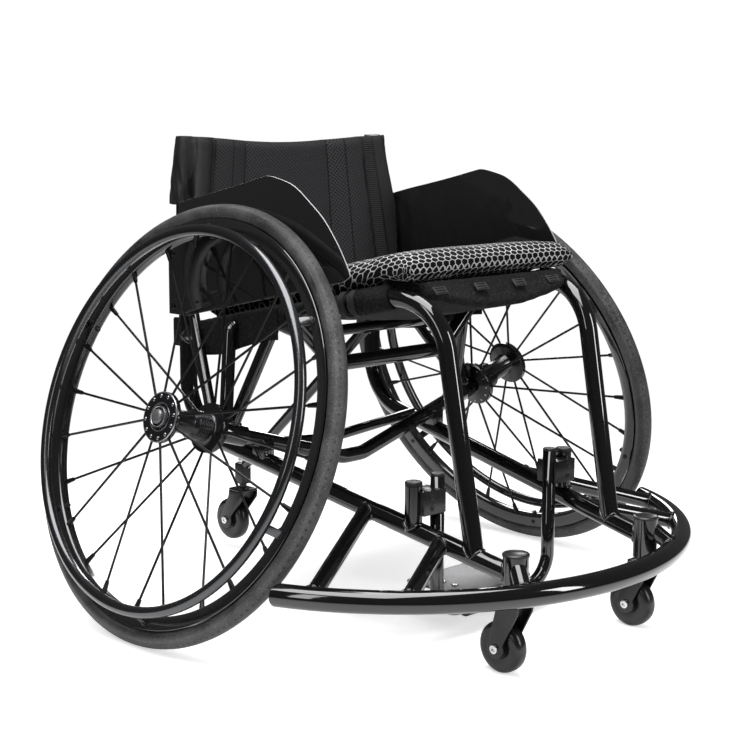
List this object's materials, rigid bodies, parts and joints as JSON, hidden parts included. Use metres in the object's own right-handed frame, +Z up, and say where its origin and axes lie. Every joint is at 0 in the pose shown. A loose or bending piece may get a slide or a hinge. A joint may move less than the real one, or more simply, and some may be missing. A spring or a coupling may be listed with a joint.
{
  "type": "basketball wheelchair",
  "caption": "Rigid black sports wheelchair with cambered spoked wheels, push rims, curved front bumper, castors, tail wheel, U footrest, mesh seat and low back.",
  "frame": {"origin": "on the floor, under the middle of the chair's box", "axes": "+Z up, the chair's front faces -Y, the user's left is +X"},
  "size_m": [0.8772, 0.8358, 0.672],
  "materials": {
    "frame_paint": "gloss black",
    "black_anodised": "satin black",
    "clamp_black": "matte black",
    "fork_black": "satin black",
    "rim_black": "semi-gloss black",
    "tyre_rubber": "dull dark grey",
    "castor_rubber": "smooth dark grey",
    "bright_steel": "bright",
    "footplate_grey": "satin grey",
    "seat_cloth": "black woven",
    "cushion_mesh": "dark spacer mesh",
    "back_cloth": "black spacer mesh",
    "guard_panel": "gloss black"
  },
  "bodies": {
    "frame": {"side_tube_left": "frame_paint", "side_tube_right": "frame_paint", "seat_rail_left": "frame_paint", "seat_rail_right": "frame_paint", "seat_post_left": "frame_paint", "seat_post_right": "frame_paint", "rail_brace_left": "frame_paint", "rail_brace_right": "frame_paint", "rear_strut_left": "frame_paint", "rear_strut_right": "frame_paint", "axle_receiver_left": "frame_paint", "axle_receiver_right": "frame_paint", "bumper_rear_strut_left": "frame_paint", "bumper_rear_strut_right": "frame_paint", "bumper_front_strut_left": "frame_paint", "bumper_front_strut_right": "frame_paint", "castor_housing_left": "frame_paint", "castor_housing_right": "frame_paint", "footrest_socket_left": "frame_paint", "footrest_socket_right": "frame_paint", "footrest_clamp_left": "clamp_black", "footrest_clamp_right": "clamp_black", "axle_pin_left": "bright_steel", "axle_pin_right": "bright_steel", "side_guard_left": "guard_panel", "side_guard_right": "guard_panel", "seat_hoop": "frame_paint", "camber_bar": "frame_paint", "rear_cross_tube": "frame_paint", "seat_cross_tube": "frame_paint", "tail_strut": "frame_paint", "tail_holder": "clamp_black", "bumper": "frame_paint", "seat_sling": "seat_cloth", "back_upholstery": "back_cloth"},
    "wheel_left": {"tyre_left": "tyre_rubber", "rim_left": "rim_black", "handrim_left": "black_anodised", "hub_and_spokes_left": "black_anodised"},
    "button_left": {"release_button_left": "black_anodised"},
    "castor_left": {"castor_fork_left": "fork_black", "castor_bolt_left": "bright_steel"},
    "castor_wheel_left": {"castor_wheel_left": "castor_rubber"},
    "wheel_right": {"tyre_right": "tyre_rubber", "rim_right": "rim_black", "handrim_right": "black_anodised", "hub_and_spokes_right": "black_anodised"},
    "button_right": {"release_button_right": "black_anodised"},
    "castor_right": {"castor_fork_right": "fork_black", "castor_bolt_right": "bright_steel"},
    "castor_wheel_right": {"castor_wheel_right": "castor_rubber"},
    "tail_castor": {"tail_fork": "fork_black", "tail_bolt": "bright_steel"},
    "tail_wheel": {"tail_wheel": "castor_rubber"},
    "footrest": {"footrest_tube": "frame_paint", "footplate": "footplate_grey"},
    "cushion": {"seat_cushion": "cushion_mesh"}
  },
  "joints": [
    {"name": "wheel_spin_left", "type": "hinge", "parent": "frame", "child": "wheel_left", "pos_m": [0.3209, 0.10244, 0.29123], "axis": [0.9529, 0, 0.3032], "continuous": true},
    {"name": "button_press_left", "type": "slide", "parent": "frame", "child": "button_left", "axis": [-0.9529, 0, -0.3032], "range_m": [0, 0.0025], "stiffness_N_per_m": 2000},
    {"name": "castor_swivel_left", "type": "hinge", "parent": "frame", "child": "castor_left", "pos_m": [0.1377, -0.33656, 0.1], "axis": [0, 0, 1], "continuous": true},
    {"name": "castor_spin_left", "type": "hinge", "parent": "castor_left", "child": "castor_wheel_left", "pos_m": [0.1377, -0.31806, 0.034], "axis": [1, 0, 0], "continuous": true},
    {"name": "wheel_spin_right", "type": "hinge", "parent": "frame", "child": "wheel_right", "pos_m": [-0.3209, 0.10244, 0.29123], "axis": [-0.9529, 0, 0.3032], "continuous": true},
    {"name": "button_press_right", "type": "slide", "parent": "frame", "child": "button_right", "axis": [0.9529, 0, -0.3032], "range_m": [0, 0.0025], "stiffness_N_per_m": 2000},
    {"name": "castor_swivel_right", "type": "hinge", "parent": "frame", "child": "castor_right", "pos_m": [-0.1377, -0.33656, 0.1], "axis": [0, 0, 1], "continuous": true},
    {"name": "castor_spin_right", "type": "hinge", "parent": "castor_right", "child": "castor_wheel_right", "pos_m": [-0.1377, -0.31806, 0.034], "axis": [1, 0, 0], "continuous": true},
    {"name": "tail_swivel", "type": "hinge", "parent": "frame", "child": "tail_castor", "pos_m": [0, 0.35814, 0.11], "axis": [0, 0, 1], "continuous": true},
    {"name": "tail_spin", "type": "hinge", "parent": "tail_castor", "child": "tail_wheel", "pos_m": [0, 0.38444, 0.049], "axis": [1, 0, 0], "continuous": true},
    {"name": "footrest_height", "type": "slide", "parent": "frame", "child": "footrest", "axis": [0, 0, 1], "range_m": [-0.008, 0.05]},
    {"name": "cushion_lift", "type": "slide", "parent": "frame", "child": "cushion", "axis": [0, 0, 1], "range_m": [0, 0.12]}
  ]
}
